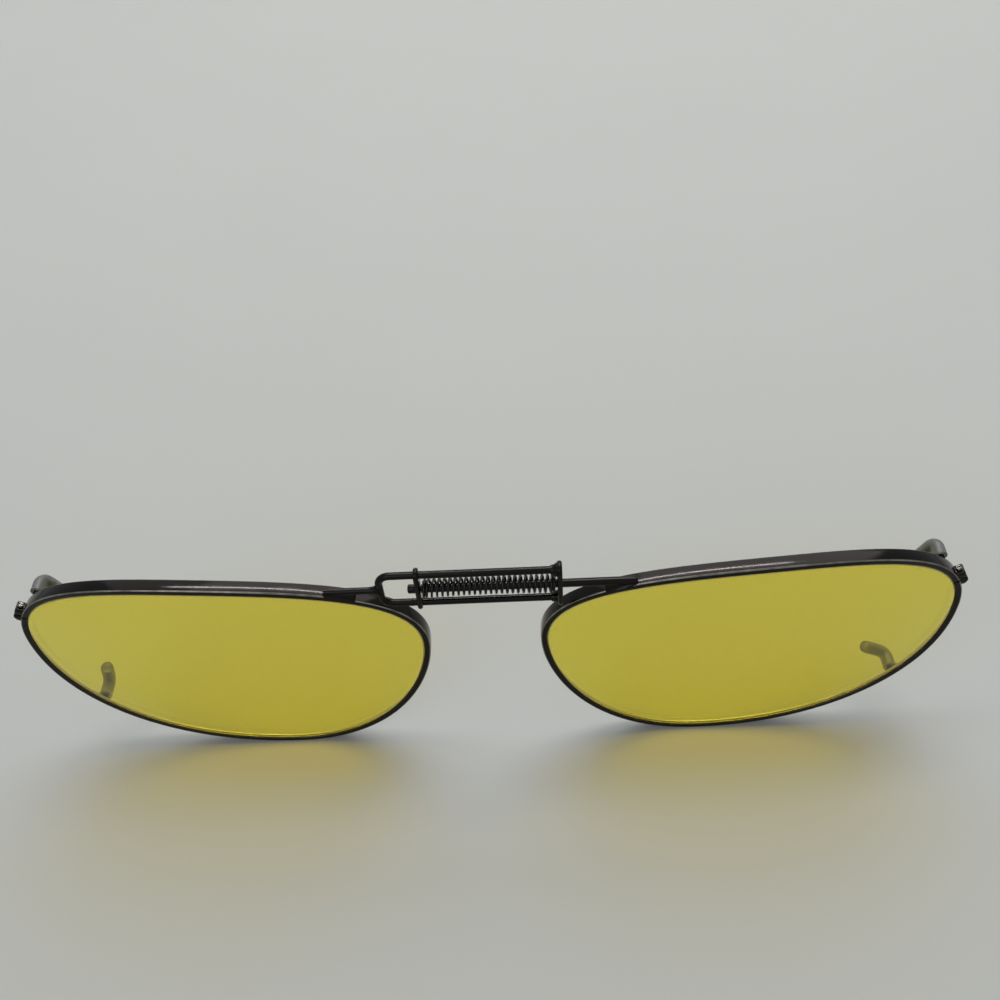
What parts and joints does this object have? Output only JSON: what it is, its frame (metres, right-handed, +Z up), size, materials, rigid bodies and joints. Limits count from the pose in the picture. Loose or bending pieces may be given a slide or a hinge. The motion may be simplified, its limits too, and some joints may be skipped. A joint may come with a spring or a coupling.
{
  "type": "clip-on lenses",
  "caption": "Clip-on tinted lenses in slim metal rims, joined by a spring-loaded sliding bridge, with hooked claws that grip the edges of eyeglass lenses.",
  "frame": {"origin": "halfway between the two rims, at the height of the lens centres and at the depth of the foremost point of the middle of the lens curve, inside the grip of the four claws", "axes": "+X to the viewer's right along the spring bridge, +Y to the back towards the wearer, +Z up; the front of the lenses faces -Y"},
  "size_m": [0.127, 0.0092, 0.0388],
  "materials": {
    "gunmetal_plate": "polished dark gunmetal plating on nickel-silver wire",
    "spring_steel": "dark drawn spring wire",
    "nickel_screw": "bright nickel",
    "yellow_lens": "clear yellow tinted plastic, polished",
    "clear_sleeve": "clear soft vinyl sleeve"
  },
  "bodies": {
    "left_half": {"left_rim": "gunmetal_plate", "left_lens": "yellow_lens", "left_closing_block_upper": "gunmetal_plate", "left_closing_block_lower": "gunmetal_plate", "left_closing_screw": "nickel_screw", "left_upper_claw": "gunmetal_plate", "left_upper_claw_sleeve": "clear_sleeve", "left_lower_claw": "gunmetal_plate", "left_lower_claw_sleeve": "clear_sleeve", "guide_loop": "gunmetal_plate", "guide_stem": "gunmetal_plate", "fixed_end_plate": "gunmetal_plate", "spring": "spring_steel"},
    "right_half": {"right_rim": "gunmetal_plate", "right_lens": "yellow_lens", "right_closing_block_upper": "gunmetal_plate", "right_closing_block_lower": "gunmetal_plate", "right_closing_screw": "nickel_screw", "right_upper_claw": "gunmetal_plate", "right_upper_claw_sleeve": "clear_sleeve", "right_lower_claw": "gunmetal_plate", "right_lower_claw_sleeve": "clear_sleeve", "pull_rod": "gunmetal_plate", "slider_plate": "gunmetal_plate", "rod_head": "gunmetal_plate"}
  },
  "joints": [
    {"name": "bridge_slide", "type": "slide", "parent": "left_half", "child": "right_half", "axis": [1, 0, 0], "range_m": [-0.001, 0.008], "stiffness_N_per_m": 440, "springref_m": -0.003, "deforming": ["spring"]}
  ]
}
